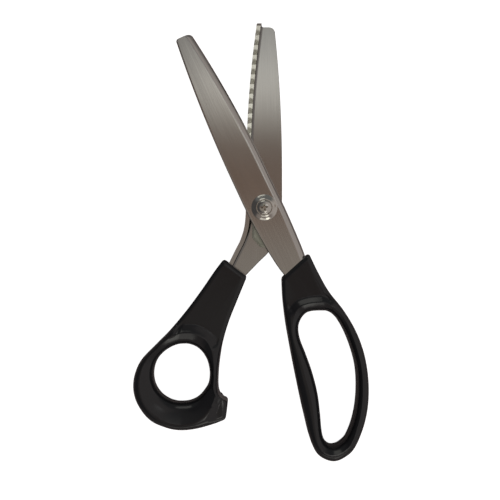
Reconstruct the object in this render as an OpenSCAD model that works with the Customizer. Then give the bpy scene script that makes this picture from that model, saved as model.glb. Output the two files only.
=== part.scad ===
// Pinking shears: two L-section steel blades with zigzag edges, two moulded handles and a pivot screw.
// The origin is on the pivot axis, in the plane that the shears rest on. +Y runs along the lower blade.

/* [Blades] */
// Thickness of the blade sheet
sheet_t = 2.2; // [1.9:0.1:2.3]
// Depth of a blade, from its outer face to the plane where the teeth meet
blade_depth = 4.6; // [4.5:0.1:4.8]
// Inner radius of the bend between the flat web and the toothed flange
bend_r = 1; // [0.8:0.05:1]
// Distance from the pivot axis to either edge of a blade at its widest
half_width = 9.2; // [9:0.1:9.4]
// Distance from the pivot axis to the tip of the lower blade's flange
lower_tip_r = 94.5; // [94.2:0.1:95]
// Distance from the pivot axis to the tip of the upper blade
upper_tip_r = 95.9; // [95.6:0.1:96.4]
// Angle between the two blades as the shears lie, from fully crossed
open_angle = 25; // [22:1:30]

/* [Teeth] */
// Spacing of the zigzag teeth, measured away from the pivot
tooth_pitch = 4.92; // [4.8:0.01:5]
// Height of a tooth from valley to peak
tooth_h = 2.5; // [2:0.1:2.6]
// Gap that the meshing teeth leave
tooth_gap = 0.15; // [0.1:0.01:0.3]

/* [Handles] */
// Half the thickness of a handle's stem
stem_half = 6.8; // [6.4:0.1:7.4]
// Half the thickness of a bow at the crest round its hole
bow_half = 8.6; // [8:0.1:8.6]
// Width of the slope from a hole up to its crest, as a share of its drawn width
slope_scale = 1; // [0.9:0.01:1.05]
// Length of a blade's tang inside its handle
tang_l = 15; // [10:1:16]

/* [Pivot] */
// Diameter of the pivot screw's shank
shank_d = 5; // [4.8:0.1:5.2]
// Diameter of the pivot screw's oval head
head_d = 7.3; // [7.1:0.1:7.4]
// Outer diameter of the cup washer under the head
cup_d = 13.2; // [12.6:0.1:13.6]
// Width across the flats of the nut
nut_af = 8; // [7.6:0.1:8.2]
// Thickness of the thin nut
nut_h = 2.5; // [2.3:0.1:2.6]
// Thickness of the split spring washer
spring_h = 0.9; // [0.8:0.1:1]
// Thickness of the plain washer
washer_h = 0.6; // [0.5:0.1:0.8]

/* [Hidden] */
$fn = 64;

// Heights: the stack under the lower blade sets the plane where the teeth meet
lower_face = nut_h + spring_h + washer_h;
mate_z = lower_face + blade_depth;
upper_face = mate_z + blade_depth;
run_gap = 0.05;

// Blade outline: both edges run straight, then curve in towards the tip
taper_start = 20;
flange_curve = 1028;
spine_curve = 1350;
spine_bevel = 0.5;
least_step = 0.2;
first_peak_r = 19.1;
plain_drop = 0.3;
tip_flange_w = 2.7;
steel = "#8f8c86";

function flange_x(y) = -half_width + pow(max(0, y - taper_start), 2) / flange_curve;
function spine_x(y) = half_width - pow(max(0, y - taper_start), 2) / spine_curve;

// Height of the zigzag at radius r, measured from the plane where the teeth meet
function zigzag(r) =
    let (turn = (r - first_peak_r) / tooth_pitch, part = turn - floor(turn))
    tooth_h * (abs(2 * part - 1) - 0.5);

// Cross-section of a blade, width w and edge height h: flange, bend, web, spine and back
function profile(w, h) =
    let (
        outer_r = min(bend_r + sheet_t, w - 2 * least_step, h),
        inner_r = min(bend_r, w - sheet_t - least_step, h - sheet_t),
        bevel = min(spine_bevel, w - outer_r - least_step)
    )
    concat(
        [[0, h]],
        [for (a = [0:22.5:90]) [outer_r * (1 - cos(a)), outer_r * (1 - sin(a))]],
        [[w - bevel, 0], [w, bevel], [w, sheet_t]],
        [for (a = [0:30:90]) [sheet_t + inner_r * (1 - sin(a)), sheet_t + inner_r * (1 - cos(a))]],
        [[sheet_t, h]]
    );

// A section standing at flange point p in direction a; lean carries the ridge round the pivot
function section(p, a, w, h, lean = 0) =
    let (shape = profile(w, h))
    [for (i = [0:len(shape) - 1])
        let (s = shape[i][0], shift = i == len(shape) - 1 ? lean : 0)
        [p[0] + s * cos(a), p[1] + s * sin(a) + shift, shape[i][1]]];

// A section of the toothed part at radius r; phase is 1 for the lower blade and -1 for the upper
function toothed_section(r, phase, trim, shift = 0) =
    let (
        x = flange_x(r) + shift,
        y = sqrt(r * r - x * x),
        inner_y = sqrt(r * r - pow(x + sheet_t, 2)),
        w = spine_x(r) - x - trim,
        h = blade_depth + phase * zigzag(r) - tooth_gap / 2
    )
    section([x, y], 0, w, h, inner_y - y);

// A solid skinned over a list of closed sections, capped at both ends or joined end to end
module skin(rings, looped = false) {
    n = len(rings[0]);
    m = len(rings);
    spans = looped ? m - 1 : m - 2;
    sides = [for (j = [0:spans]) for (i = [0:n - 1])
        let (a = j * n + i, b = j * n + (i + 1) % n, k = ((j + 1) % m) * n)
        each [[a, b, k + (i + 1) % n], [a, k + (i + 1) % n, k + i]]];
    caps = looped ? [] : [[for (i = [n - 1:-1:0]) i], [for (i = [0:n - 1]) (m - 1) * n + i]];
    polyhedron([for (ring = rings) each ring], concat(sides, caps));
}

// Sections behind the pivot: flange point, direction and width, from the handle forwards
plain_h = blade_depth - plain_drop;
lower_mouth = [-18, -28];
lower_mouth_a = -36.9;
lower_mouth_w = 10.8;
upper_mouth = [-8.4, -31.2];
upper_mouth_a = -17.1;
upper_mouth_w = 14.3;
lower_rear = [
    section(lower_mouth, lower_mouth_a, lower_mouth_w, plain_h),
    section([-14.9, -21.7], -28, 13.4, plain_h),
    section([-12.3, -16.5], -18, 16.2, plain_h),
    section([-10.4, -10.5], -9, 17.6, plain_h),
    section([-9.6, -4], 0, 18.5, plain_h),
    section([-9.3, 6], 0, 18.5, plain_h)
];
upper_rear = [
    section(upper_mouth, upper_mouth_a, upper_mouth_w, plain_h),
    section([-8.8, -27], -9, 15.6, plain_h),
    section([-9.2, -18], 0, 17.2, plain_h),
    section([-9.5, -5], 0, 18.4, plain_h),
    section([-9.3, 6], 0, 18.5, plain_h)
];

// Toothed sections: one at every peak and valley, then the tip. The lower blade's flange runs on
// past the end of its web, and the last number of each tip section is how much of the web is cut away.
tooth_step = tooth_pitch / 2;
first_valley_r = first_peak_r - tooth_step;
last_step = 30;
function teeth(phase) =
    [for (k = [0:last_step]) toothed_section(first_valley_r + k * tooth_step, phase, 0)];
tip_run = 2.3;
web_end_r = lower_tip_r - tip_run;
tip_peak_r = first_valley_r + (last_step + 1) * tooth_step;
end_valley_r = tip_peak_r + tooth_step;
lower_tip = [
    toothed_section(web_end_r - 0.5, 1, 0.5),
    toothed_section(web_end_r, 1, 1.6),
    toothed_section(web_end_r + 0.3, 1, 4.6),
    toothed_section(tip_peak_r, 1, 5.6),
    section([flange_x(lower_tip_r), lower_tip_r], 0, tip_flange_w,
        blade_depth + zigzag(lower_tip_r) - tooth_gap)
];
upper_tip_x = flange_x(upper_tip_r) + 0.8;
upper_tip = [
    toothed_section(tip_peak_r, -1, 0),
    toothed_section(upper_tip_r - 1.2, -1, 0.2),
    toothed_section(end_valley_r, -1, 0.6, 0.2),
    section([upper_tip_x, upper_tip_r], 0, spine_x(upper_tip_r) - upper_tip_x - 1.8,
        blade_depth - zigzag(upper_tip_r) - tooth_gap)
];

// A point carried back from flange point p of a section in direction a, and across it
function behind(p, a, back, across) =
    [p[0] + across * cos(a) + back * sin(a), p[1] + across * sin(a) - back * cos(a)];

// The buried tang: two narrowing sections carried on straight into the handle
tang_step = 0.4;
function tang(p, a, w) = [
    section(behind(p, a, tang_l, 2), a, w - 5, plain_h - tang_step),
    section(behind(p, a, tang_step, tang_step), a, w - 2 * tang_step, plain_h - tang_step)
];

// The tang with the blade's first section, run out past the mouth, to cut its socket with
module socket(p, a, w) {
    skin(concat(tang(p, a, w), [section(p, a, w, plain_h), section(behind(p, a, -1, 0), a, w, plain_h)]));
}

// The upper blade is drawn like the lower one, turned over and then swung open
module turned_over() {
    rotate(open_angle) translate([0, 0, upper_face]) rotate([0, 180, 0]) children();
}

module lower_blade() {
    color(steel) difference() {
        translate([0, 0, lower_face]) skin(concat(
            tang(lower_mouth, lower_mouth_a, lower_mouth_w), lower_rear, teeth(1), lower_tip));
        cylinder(d = shank_d + 2 * run_gap, h = mate_z);
    }
}

module upper_blade() {
    color(steel) difference() {
        turned_over() skin(concat(
            tang(upper_mouth, upper_mouth_a, upper_mouth_w), upper_rear, teeth(-1), upper_tip));
        translate([0, 0, mate_z]) cylinder(d = shank_d + 2 * run_gap, h = 2 * blade_depth);
    }
}

// Handles. A rung joins the hole's edge to the outline: hole point, outline point, 1 at a corner,
// how deep the outer edge is bevelled there, and how wide the slope is from the hole to the crest.
edge_normal = 1;
edge_mouth = 1.5;
thumb_rungs = [
    [[-35.5, -70.0], [-8.8, -34.9], 1, edge_mouth, 6],
    [[-37.5, -69.3], [-20.6, -26.05], 1, edge_mouth, 6],
    [[-39.2, -69.0], [-24.8, -31.6], 0, edge_normal, 6],
    [[-41.2, -69.0], [-31.9, -41.9], 0, edge_normal, 6],
    [[-43.8, -69.3], [-39.4, -52.0], 0, edge_normal, 6],
    [[-47.6, -70.8], [-47.9, -62.1], 0, edge_normal, 5],
    [[-51.6, -73.7], [-55.4, -69.7], 0, edge_normal, 3.2],
    [[-55.1, -78.3], [-62.4, -77.2], 0, edge_normal, 4.4],
    [[-56.5, -84.0], [-65.7, -84.7], 0, edge_normal, 5.6],
    [[-55.7, -89.7], [-66.3, -92.4], 0, edge_normal, 7],
    [[-52.9, -94.3], [-63.9, -100.0], 0, edge_normal, 8.6],
    [[-48.8, -97.4], [-57.9, -107.5], 0, edge_normal, 10],
    [[-45.0, -98.7], [-49.5, -111.4], 0, edge_normal, 10.6],
    [[-41.4, -98.9], [-42.6, -112.6], 0, edge_normal, 11],
    [[-37.8, -98.4], [-34.7, -111.9], 0, edge_normal, 10.4],
    [[-34.4, -96.9], [-25.8, -109.5], 0, edge_normal, 9],
    [[-31.8, -94.6], [-19.5, -106.9], 1, edge_normal, 7.4],
    [[-29.4, -91.3], [-18.45, -97.7], 1, edge_normal, 5.6],
    [[-28.6, -89.6], [-21.5, -96.3], 0, edge_normal, 4.4],
    [[-28.0, -87.6], [-23.3, -92.4], 0, edge_normal, 3.2],
    [[-27.7, -83.2], [-23.3, -83.8], 0, edge_normal, 2.1],
    [[-28.7, -78.0], [-22.5, -76.2], 0, edge_normal, 3],
    [[-30.5, -74.4], [-21.1, -68.3], 0, edge_normal, 4.6],
    [[-32.3, -72.2], [-18.1, -58.0], 0, edge_normal, 5.6],
    [[-33.9, -70.9], [-13.7, -46.8], 0, edge_normal, 6]
];
finger_rungs = [
    [[30.5, -52.2], [22.5, -23.15], 1, edge_mouth, 4.5],
    [[22.5, -52.8], [8.8, -35.5], 1, edge_mouth, 4.5],
    [[19.2, -55.4], [9.3, -46.0], 0, edge_normal, 4.5],
    [[17.3, -60.0], [10.6, -57.5], 0, edge_normal, 3.4],
    [[17.9, -66.0], [12.4, -68.0], 0, edge_normal, 3.2],
    [[20.7, -73.5], [14.4, -78.6], 0, edge_normal, 3.8],
    [[24.1, -83.0], [16.5, -89.0], 0, edge_normal, 4.5],
    [[26.9, -94.0], [18.7, -99.4], 0, edge_normal, 4.3],
    [[28.2, -104.0], [20.6, -107.5], 0, edge_normal, 3.8],
    [[29.1, -113.5], [22.4, -114.9], 0, edge_normal, 3.3],
    [[30.4, -118.0], [24.3, -120.3], 0, edge_normal, 3.4],
    [[32.2, -120.2], [26.8, -124.6], 0, edge_normal, 3.6],
    [[34.3, -120.9], [30.5, -127.2], 0, edge_normal, 3.8],
    [[36.6, -120.5], [35.0, -128.3], 0, edge_normal, 3.9],
    [[38.8, -119.2], [39.4, -127.0], 0, edge_normal, 3.8],
    [[41.4, -116.5], [44.9, -122.6], 0, edge_normal, 3.4],
    [[44.5, -109.0], [49.6, -112.6], 0, edge_normal, 2.5],
    [[46.4, -100.0], [52.1, -102.5], 0, edge_normal, 2.5],
    [[47.0, -90.0], [52.8, -92.4], 0, edge_normal, 2.5],
    [[46.3, -80.5], [52.1, -82.2], 0, edge_normal, 2.5],
    [[44.1, -71.8], [50.0, -72.2], 0, edge_normal, 2.5],
    [[40.8, -63.3], [46.1, -62.1], 0, edge_normal, 2.5],
    [[37.1, -56.7], [40.1, -52.0], 0, edge_normal, 3],
    [[34.3, -53.8], [32.2, -41.9], 0, edge_normal, 4.2],
    [[32.4, -52.7], [26.7, -32.0], 0, edge_normal, 4.5]
];
steps = 3;
plastic = "#202022";

function unit(v) = v / norm(v);
function wrap(list, i) = list[(i + len(list)) % len(list)];

// A point at share t of the way from b to c on a smooth curve whose neighbours are a and d
function curve(a, b, c, d, corner_b, corner_c, t) =
    let (
        chord = norm(c - b),
        leave = corner_b ? c - b : unit(c - a) * chord,
        arrive = corner_c ? c - b : unit(d - b) * chord
    )
    b * (2 * t ^ 3 - 3 * t ^ 2 + 1) + leave * (t ^ 3 - 2 * t ^ 2 + t)
    + c * (3 * t ^ 2 - 2 * t ^ 3) + arrive * (t ^ 3 - t ^ 2);

// The closed curve through one column of the rungs: 0 is the hole and 1 the outline
function traced(rungs, column) =
    [for (i = [0:len(rungs) - 1]) for (k = [0:steps - 1])
        let (here = rungs[i], next = wrap(rungs, i + 1))
        curve(wrap(rungs, i - 1)[column], here[column], next[column], wrap(rungs, i + 2)[column],
            column == 1 && here[2] == 1, column == 1 && next[2] == 1, k / steps)];

// A number in one column of the rungs, carried evenly from each rung to the next
function carried(rungs, column) =
    [for (i = [0:len(rungs) - 1]) for (k = [0:steps - 1])
        rungs[i][column] * (1 - k / steps) + wrap(rungs, i + 1)[column] * k / steps];

// Inward mitre direction at point i of a closed outline that runs anticlockwise
function inward(outline, i) =
    let (
        before = unit(wrap(outline, i) - wrap(outline, i - 1)),
        after = unit(wrap(outline, i + 1) - wrap(outline, i)),
        n1 = [-before[1], before[0]],
        n2 = [-after[1], after[0]]
    )
    (n1 + n2) / (1 + n1 * n2);

// Rings round the hole: share of the slope's width, and height as a share of the bow's
slope_rings = [[0, 0.4], [0.4, 0.78], [0.8, 0.96], [1, 1]];
// Rings inside the outline: distance in from it, and drop below the stem's face
edge_rings = [[2.2, 0], [0.8, 0.3], [0, 1.3]];
foot_w = 4;
// The most that the slope takes of a rung, and the foot and an edge ring of what is left of it
slope_most = 0.8;
foot_most = 0.45;
edge_most = 0.4;

// The rings of one face of a handle, from the hole's edge over the crest to the outer edge
function face_rings(rungs) =
    let (
        hole = traced(rungs, 0),
        outline = traced(rungs, 1),
        bevel = carried(rungs, 3),
        slope = carried(rungs, 4),
        n = len(hole),
        reach = outline - hole,
        width = [for (i = [0:n - 1]) min(slope[i] * slope_scale, slope_most * norm(reach[i]))],
        room = [for (i = [0:n - 1]) norm(reach[i]) - width[i]]
    )
    concat(
        [for (ring = slope_rings) [for (i = [0:n - 1])
            let (p = hole[i] + unit(reach[i]) * width[i] * ring[0])
            [p[0], p[1], bow_half * ring[1]]]],
        [[for (i = [0:n - 1])
            let (p = hole[i] + unit(reach[i]) * (width[i] + min(foot_w, foot_most * room[i])))
            [p[0], p[1], stem_half]]],
        [for (ring = edge_rings) [for (i = [0:n - 1])
            let (p = outline[i] + inward(outline, i) * min(ring[0], edge_most * room[i]))
            [p[0], p[1], stem_half - ring[1] * bevel[i]]]]
    );

function flipped(ring) = [for (p = ring) [p[0], p[1], -p[2]]];

// A handle: one face, and the same face turned to the other side
module moulding(rungs) {
    face = face_rings(rungs);
    count = len(face);
    back = [for (j = [count - 1:-1:0]) flipped(face[j])];
    translate([0, 0, mate_z]) skin(concat(face, back), looped = true);
}

module thumb_handle() {
    color(plastic) difference() {
        moulding(thumb_rungs);
        translate([0, 0, lower_face]) socket(lower_mouth, lower_mouth_a, lower_mouth_w);
    }
}

module finger_handle() {
    color(plastic) difference() {
        moulding(finger_rungs);
        turned_over() socket(upper_mouth, upper_mouth_a, upper_mouth_w);
    }
}

// The spacer fills the room between the blades round the screw and behind it
spacer_h = 2 * (blade_depth - sheet_t) - 2 * run_gap;
spacer_bevel = 1;
spacer_outline = [[-6.2, -15], [-1.8, -20.2], [4, -20.2], [6, -17], [6.5, -2], [5.9, 2.5],
    [3.4, 5.4], [0, 6.4], [-4, 6.4], [-6.2, 4.4]];

module spacer_plate(inset, h) {
    linear_extrude(h) offset(delta = -inset) polygon(spacer_outline);
}

module spacer_block() {
    color("#767a6c") difference() {
        translate([0, 0, lower_face + sheet_t]) hull() {
            spacer_plate(spacer_bevel, spacer_h);
            translate([0, 0, spacer_bevel]) spacer_plate(0, spacer_h - 2 * spacer_bevel);
        }
        cylinder(d = shank_d, h = upper_face);
    }
}

// Screw head and cup washer share one 45 degree seat
cup_z = upper_face + run_gap;
seat_z = 0.62;
head_r = head_d / 2;
head_rim_z = seat_z + head_r - shank_d / 2;
dome_h = 1;
rim_h = 0.18;
recess_w = 1.1;
recess_l = 4.2;
recess_depth = 1.5;

module pivot_screw() {
    dome = [for (a = [0:10:90]) [head_r * cos(a), cup_z + head_rim_z + rim_h + dome_h * sin(a)]];
    color("#a8a59c") difference() {
        rotate_extrude() polygon(concat(
            [[0, 0], [shank_d / 2, 0], [shank_d / 2, cup_z + seat_z],
                [head_r, cup_z + head_rim_z]],
            dome));
        for (a = [0, 90])
            rotate(open_angle + a)
                translate([-recess_l / 2, -recess_w / 2, cup_z + head_rim_z + rim_h + dome_h - recess_depth])
                    cube([recess_l, recess_w, recess_depth + 1]);
    }
}

module cup_washer() {
    r = cup_d / 2;
    hole_r = shank_d / 2 + 0.25;
    lip_r = head_r + 0.05;
    color("#9a978f") translate([0, 0, cup_z]) rotate_extrude() polygon([
        [hole_r, 0], [r, 0], [r, 0.4], [r - 0.4, 0.8], [r - 1.2, 1.3], [r - 2, 1.7], [lip_r + 0.3, 1.95],
        [lip_r, seat_z + lip_r - shank_d / 2], [hole_r, seat_z + 0.25]]);
}

module ring_washer(outer_d, inner_d, h) {
    difference() {
        cylinder(d = outer_d, h = h);
        translate([0, 0, -1]) cylinder(d = inner_d, h = h + 2);
    }
}

module plain_washer() {
    color("#a5a29a") translate([0, 0, lower_face - washer_h])
        ring_washer(10.6, shank_d + 0.3, washer_h);
}

module spring_washer() {
    split_w = 0.8;
    split_a = 200;
    color("#7d7a75") translate([0, 0, nut_h]) difference() {
        ring_washer(9, shank_d + 0.2, spring_h);
        rotate(split_a) translate([0, -split_w / 2, -1]) cube([9, split_w, spring_h + 2]);
    }
}

module pivot_nut() {
    corner_d = nut_af / cos(30);
    chamfer = 0.5;
    color("#a5a29a") difference() {
        intersection() {
            cylinder(d = corner_d, h = nut_h, $fn = 6);
            rotate_extrude() polygon([[0, 0], [corner_d / 2 - chamfer, 0], [corner_d / 2 + 0.1, chamfer * 0.7],
                [corner_d / 2 + 0.1, nut_h], [0, nut_h]]);
        }
        translate([0, 0, -1]) cylinder(d = shank_d, h = nut_h + 2);
    }
}

lower_blade();
upper_blade();
thumb_handle();
finger_handle();
spacer_block();
pivot_screw();
cup_washer();
plain_washer();
spring_washer();
pivot_nut();
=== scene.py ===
# %% [markdown]
# # A pair of pinking shears
# Pinking shears cut cloth along a zigzag, so that the cut edge doesn't fray. The real pair is two
# strips of steel sheet, each bent to an L, with teeth ground into the upright flange. One strip lies
# teeth up, and the other is turned over on top of it. A screw holds them at a nylon spacer, and a black
# plastic handle is moulded round the end of each strip.
#
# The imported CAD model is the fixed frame: it says where every part lies and how the blades turn. Here
# each part is made again with finer shapes and real finishes, in the same place.

# %% Load the frame and keep its box
import math

import bmesh
import bpy
import numpy as np
from mathutils import Matrix, Vector


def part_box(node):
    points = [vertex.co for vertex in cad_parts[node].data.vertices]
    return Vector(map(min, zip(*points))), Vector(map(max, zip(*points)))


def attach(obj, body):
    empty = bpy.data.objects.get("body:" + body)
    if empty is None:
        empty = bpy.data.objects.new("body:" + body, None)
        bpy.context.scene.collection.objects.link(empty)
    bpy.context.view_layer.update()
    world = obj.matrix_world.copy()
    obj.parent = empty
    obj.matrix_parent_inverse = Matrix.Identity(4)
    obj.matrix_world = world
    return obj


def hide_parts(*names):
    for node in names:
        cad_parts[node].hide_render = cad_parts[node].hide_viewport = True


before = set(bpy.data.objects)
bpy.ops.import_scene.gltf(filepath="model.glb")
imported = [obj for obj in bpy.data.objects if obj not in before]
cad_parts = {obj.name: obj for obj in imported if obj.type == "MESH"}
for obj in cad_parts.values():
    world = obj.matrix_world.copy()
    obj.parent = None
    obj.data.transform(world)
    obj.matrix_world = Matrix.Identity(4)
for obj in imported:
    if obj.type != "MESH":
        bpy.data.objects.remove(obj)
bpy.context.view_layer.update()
MM = 0.001
lower_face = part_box("lower_blade")[0].z / MM
upper_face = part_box("upper_blade")[1].z / MM
mate_z = (lower_face + upper_face) / 2
print(f"the teeth meet {mate_z:.2f} mm above the table")

# %% [markdown]
# ## Camera
# The shears lie flat and are seen from straight above, from about an arm's length. The camera comes
# first, because all the looks are judged through it. It looks down, so it needs no turning, and the
# lens is worked out from the width of table that it should take in.

# %% Place the camera above the table
CAMERA_HEIGHT = 450.0
VIEW_WIDTH = 255.5
SENSOR = 36.0

lens = bpy.data.cameras.new("overhead_camera")
lens.sensor_width = SENSOR
lens.lens = SENSOR * CAMERA_HEIGHT / VIEW_WIDTH
lens.clip_start = 0.01
camera = bpy.data.objects.new("overhead_camera", lens)
camera.location = (-7.3 * MM, -21.5 * MM, (mate_z + CAMERA_HEIGHT) * MM)
bpy.context.scene.collection.objects.link(camera)
bpy.context.scene.camera = camera
bpy.context.scene.view_settings.view_transform = "Standard"
print(f"a {lens.lens:.1f} mm lens looks down from {camera.location.z:.3f} m")

# %% [markdown]
# ## Node arithmetic
# Materials and Geometry Nodes are both graphs of small steps. Written out by hand, a line of
# arithmetic takes many steps, so one small class wraps a socket and turns Python's operators into Math
# nodes. A second class adds any other node: its settings first, then the values of its sockets.

# %% Sockets that take part in arithmetic
class Wire:
    """An output socket. Each operator on it adds one Math node to the same graph."""

    def __init__(self, graph, socket):
        self.graph, self.socket = graph, socket

    def out(self, name):
        return Wire(self.graph, self.socket.node.outputs[name])

    def maths(self, operation, *values):
        return self.graph.add("ShaderNodeMath", {"operation": operation}, dict(enumerate(values)))

    def __add__(self, other): return self.maths("ADD", self, other)
    def __radd__(self, other): return self.maths("ADD", other, self)
    def __sub__(self, other): return self.maths("SUBTRACT", self, other)
    def __rsub__(self, other): return self.maths("SUBTRACT", other, self)
    def __mul__(self, other): return self.maths("MULTIPLY", self, other)
    def __rmul__(self, other): return self.maths("MULTIPLY", other, self)
    def __truediv__(self, other): return self.maths("DIVIDE", self, other)
    def __pow__(self, other): return self.maths("POWER", self, other)
    def __abs__(self): return self.maths("ABSOLUTE", self)

    def fraction(self): return self.maths("FRACT", self)

    def between(self, low, high):
        """0 below low, 1 above high, and a smooth rise from one to the other."""
        return self.graph.add("ShaderNodeMapRange", {"interpolation_type": "SMOOTHSTEP"},
                              {"Value": self, "From Min": low, "From Max": high})


class Graph:
    """A node tree with one way of adding a node."""

    def __init__(self, tree):
        self.tree = tree

    def add(self, kind, settings=None, inputs=None):
        node = self.tree.nodes.new(kind)
        for name, value in (settings or {}).items():
            if name == "stops":
                elements = node.color_ramp.elements
                while len(elements) < len(value):
                    elements.new(0.5)
                for element, (place, colour) in zip(elements, value):
                    element.position = place
                    element.color = (*colour, 1.0)
            else:
                setattr(node, name, value)
        for name, value in (inputs or {}).items():
            if isinstance(value, Wire):
                self.tree.links.new(value.socket, node.inputs[name])
            else:
                node.inputs[name].default_value = value
        return Wire(self, node.outputs[0]) if node.outputs else node

    def blend(self, share, first, second):
        """A colour that goes from first to second as share goes from 0 to 1."""
        mix = self.add("ShaderNodeMix", {"data_type": "RGBA"}, {0: share, 6: first, 7: second})
        return Wire(self, mix.socket.node.outputs[2])


print("node arithmetic is ready")

# %% [markdown]
# ## Helpers for solid shapes
# Almost every part is a skin over closed rings of points: a blade is a row of L-shaped sections, a
# handle is a set of rings round its finger hole, and a washer is one profile turned round an axis. So
# one skinning helper makes them all. Another finishes a mesh: it merges doubles, points the faces
# outwards and keeps true edges sharp while curves shade smoothly.

# %% Skin rings, turn profiles, cut and finish
def mend(shape):
    """Splits an open edge where another open corner lies on it, and joins the two."""
    gaps = [edge for edge in shape.edges if len(edge.link_faces) == 1]
    corners = [corner for edge in gaps for corner in edge.verts]
    for edge in gaps:
        start, end = edge.verts
        along = end.co - start.co
        for corner in corners:
            share = (corner.co - start.co).dot(along) / along.length_squared
            if 0.01 < share < 0.99 and (start.co + along * share - corner.co).length < 1e-6:
                bmesh.utils.edge_split(edge, start, share)
                break
    bmesh.ops.remove_doubles(shape, verts=shape.verts, dist=1e-6)


def finish(piece, crease=30):
    """A clean closed mesh that is sharp only where its faces meet at more than the crease."""
    shape = bmesh.new()
    shape.from_mesh(piece.data)
    bmesh.ops.remove_doubles(shape, verts=shape.verts, dist=1e-6)
    bmesh.ops.dissolve_degenerate(shape, edges=shape.edges, dist=1e-7)
    loose = [edge for edge in shape.edges if not edge.link_faces]
    bmesh.ops.delete(shape, geom=loose, context="EDGES")
    mend(shape)
    bmesh.ops.recalc_face_normals(shape, faces=shape.faces)
    open_edges = sum(1 for edge in shape.edges if len(edge.link_faces) != 2)
    shape.to_mesh(piece.data)
    shape.free()
    piece.data.shade_smooth()
    piece.data.set_sharp_from_angle(angle=math.radians(crease))
    print(f"{piece.name}: {len(piece.data.polygons)} faces, {open_edges} open edges")
    return piece


def skin(name, rings, looped=False):
    """A closed mesh over rings of points in millimetres, capped or joined end to end."""
    around, count = len(rings[0]), len(rings)
    faces = []
    for j in range(count if looped else count - 1):
        here, there = j * around, (j + 1) % count * around
        for i in range(around):
            k = (i + 1) % around
            faces.append((here + i, here + k, there + k, there + i))
    if not looped:
        faces.append(tuple(range(around - 1, -1, -1)))
        faces.append(tuple(range((count - 1) * around, count * around)))
    mesh = bpy.data.meshes.new(name)
    points = np.concatenate([np.asarray(ring, float) for ring in rings]) * MM
    mesh.from_pydata(points.tolist(), [], faces)
    piece = bpy.data.objects.new(name, mesh)
    bpy.context.scene.collection.objects.link(piece)
    return piece


def rounded(points, radius, parts=4):
    """A closed outline with each corner eased: radius is one number or one for each corner."""
    points = [np.asarray(p, float) for p in points]
    radii = radius if isinstance(radius, (list, tuple)) else [radius] * len(points)
    eased = []
    for i, corner in enumerate(points):
        before, after = points[i - 1] - corner, points[(i + 1) % len(points)] - corner
        reach = min(radii[i], 0.45 * np.linalg.norm(before), 0.45 * np.linalg.norm(after))
        if reach <= 0:
            eased.append(corner)
            continue
        a = corner + before / np.linalg.norm(before) * reach
        b = corner + after / np.linalg.norm(after) * reach
        for t in np.linspace(0, 1, parts + 1):
            eased.append((1 - t) ** 2 * a + 2 * t * (1 - t) * corner + t ** 2 * b)
    return eased


def turned(name, profile, steps=128):
    """A profile of (radius, height) points in millimetres, turned round the pivot axis."""
    rings = []
    for step in range(steps):
        angle = 2 * math.pi * step / steps
        rings.append([(r * math.cos(angle), r * math.sin(angle), z) for r, z in profile])
    return skin(name, rings, looped=True)


def cut(piece, tool, operation="DIFFERENCE"):
    """Cuts a piece with a tool for good, and clears the tool away."""
    for shape in (piece, tool):
        finish(shape)
    knife = piece.modifiers.new("knife", "BOOLEAN")
    knife.operation, knife.solver, knife.object = operation, "EXACT", tool
    piece.data = bpy.data.meshes.new_from_object(
        piece.evaluated_get(bpy.context.evaluated_depsgraph_get()))
    piece.modifiers.remove(knife)
    bpy.data.objects.remove(tool)
    return piece


def bar(name, low, high, taper=1.0, turn=0.0, centre=(0, 0)):
    """A block between two corners whose foot is tapered, turned about a centre."""
    rings = []
    for z, scale in ((low[2], taper), (high[2], 1.0)):
        ring = []
        for x, y in ((low[0], low[1]), (high[0], low[1]), (high[0], high[1]), (low[0], high[1])):
            x, y = x * scale, y * scale
            ring.append((centre[0] + x * math.cos(turn) - y * math.sin(turn),
                         centre[1] + x * math.sin(turn) + y * math.cos(turn), z))
        rings.append(ring)
    return skin(name, rings)


def dress(piece, body, node, material=None):
    """The piece takes its material, rides on a body and stands for a CAD node."""
    if material:
        piece.data.materials.clear()
        piece.data.materials.append(material)
    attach(piece, body)
    if node:
        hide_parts(node)


print("shape helpers are ready")

# %% [markdown]
# ## Blade steel
# The sheet is stainless steel, ground lengthwise and left satin. Up close that is thousands of fine
# lines along the blade: they vary the gloss and tilt the surface a little across the blade. A noise
# squeezed along one direction gives such lines. A Mapping node turns it, so that the lines run along
# each blade. The inside of the bend is painted darker, as painted shade in the crease: an attribute on
# the mesh says where it is. The ground teeth are the same steel with a coarser, paler, more even face,
# and a slope in their bump gives the slight lean that the wheel leaves.

# %% Make the blade finishes
def principled(name):
    material = bpy.data.materials.new(name)
    material.use_nodes = True
    graph = Graph(material.node_tree)
    material.node_tree.nodes.clear()
    shader = graph.add("ShaderNodeBsdfPrincipled")
    graph.add("ShaderNodeOutputMaterial", None, {"Surface": shader})
    return material, graph, shader.socket.node


def feed(graph, shader, **sockets):
    """Sets or links the shader's sockets: Base_Color=... means Base Color."""
    for name, value in sockets.items():
        socket = shader.inputs[name.replace("_", " ")]
        if isinstance(value, Wire):
            graph.tree.links.new(value.socket, socket)
        else:
            socket.default_value = value


def noise(graph, place, scale, detail=2.0, rough=0.5):
    return graph.add("ShaderNodeTexNoise", None,
                     {"Vector": place, "Scale": scale, "Detail": detail, "Roughness": rough})


def bump(graph, height, strength, distance):
    return graph.add("ShaderNodeBump", None,
                     {"Height": height, "Strength": strength, "Distance": distance})


def placed(graph, turn=0.0, squeeze=(1, 1, 1)):
    """Object coordinates, turned about the pivot and squeezed."""
    where = graph.add("ShaderNodeTexCoord").out("Object")
    turned_back = graph.add("ShaderNodeMapping", None,
                            {"Vector": where, "Rotation": (0, 0, -turn)})
    return graph.add("ShaderNodeMapping", None, {"Vector": turned_back, "Scale": squeeze})


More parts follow.
